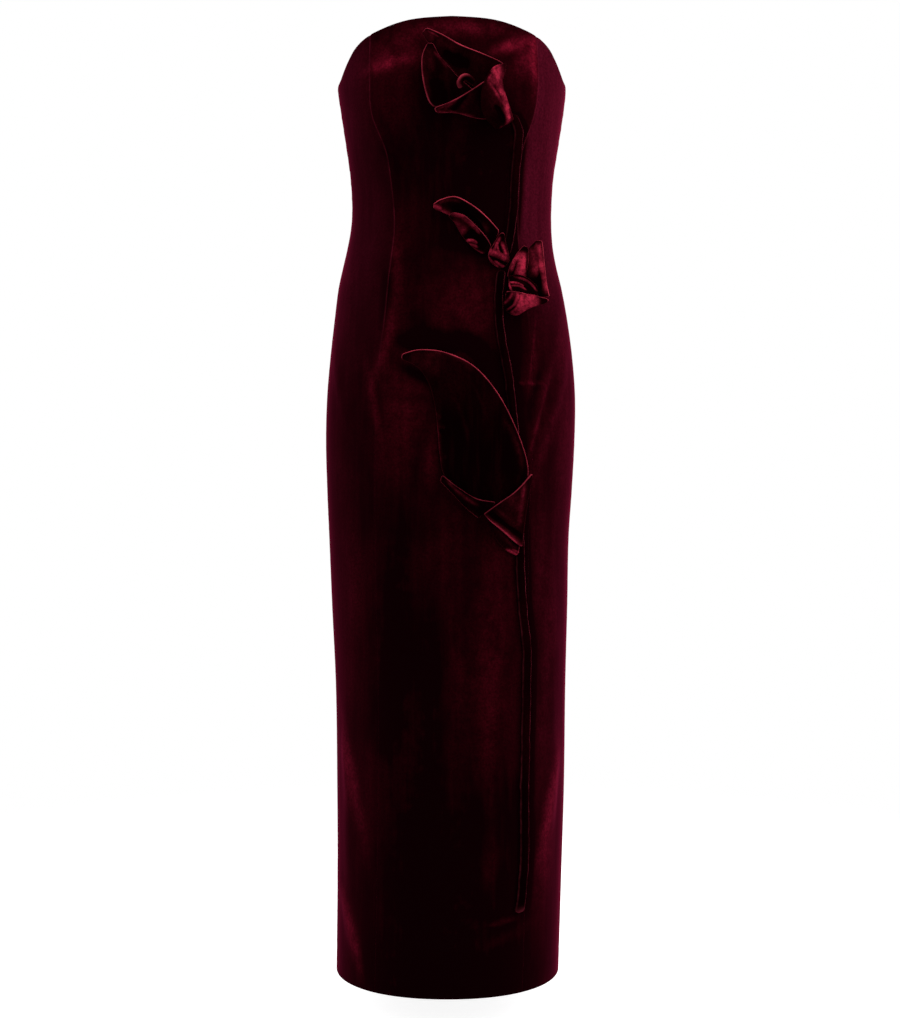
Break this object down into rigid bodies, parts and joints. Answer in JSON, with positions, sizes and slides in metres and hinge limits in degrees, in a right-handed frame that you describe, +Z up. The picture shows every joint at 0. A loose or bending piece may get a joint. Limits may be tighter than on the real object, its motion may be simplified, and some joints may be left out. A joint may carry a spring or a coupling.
{
  "type": "maxi dress",
  "caption": "Strapless column maxi dress in dark wine velvet, worn form, with a sewn-on rolled flower, bud, two leaves and a long stem.",
  "frame": {"origin": "centre of the dress at the waist, where the wearer holds it up", "axes": "+Z up, -Y the front, +X the wearer's left"},
  "size_m": [0.3366, 0.2944, 1.2509],
  "materials": {
    "dress_velvet": "pile velvet, soft sheen at the edges",
    "petal_velvet": "pile velvet, brighter on turned edges",
    "stem_velvet": "pile velvet",
    "zip_metal": "dark enamel, satin"
  },
  "bodies": {
    "dress": {"front_centre": "dress_velvet", "side_front_right": "dress_velvet", "side_front_left": "dress_velvet", "side_back_right": "dress_velvet", "side_back_left": "dress_velvet", "centre_back_right": "dress_velvet", "centre_back_left": "dress_velvet", "stem_upper": "stem_velvet", "stem_middle": "stem_velvet", "stem_lower": "stem_velvet", "lily_back_petal": "petal_velvet", "lily_front_petal": "petal_velvet", "lily_lip": "petal_velvet", "lily_neck": "petal_velvet", "small_leaf_blade": "petal_velvet", "small_leaf_fold": "petal_velvet", "small_leaf_knot": "petal_velvet", "bud_left_petal": "petal_velvet", "bud_right_petal": "petal_velvet", "bud_inner": "petal_velvet", "bud_cup": "petal_velvet", "large_leaf_blade": "petal_velvet", "large_leaf_cuff": "petal_velvet", "large_leaf_wrap": "petal_velvet", "large_leaf_tail": "petal_velvet", "lily_spadix": "petal_velvet", "zip_slider": "zip_metal"},
    "zip_tab": {"zip_pull": "zip_metal"}
  },
  "joints": [
    {"name": "zip_tab_swing", "type": "hinge", "parent": "dress", "child": "zip_tab", "pos_m": [0.00267, 0.09593, 0.143], "axis": [1, 0, 0], "range_deg": [0, 150]}
  ]
}
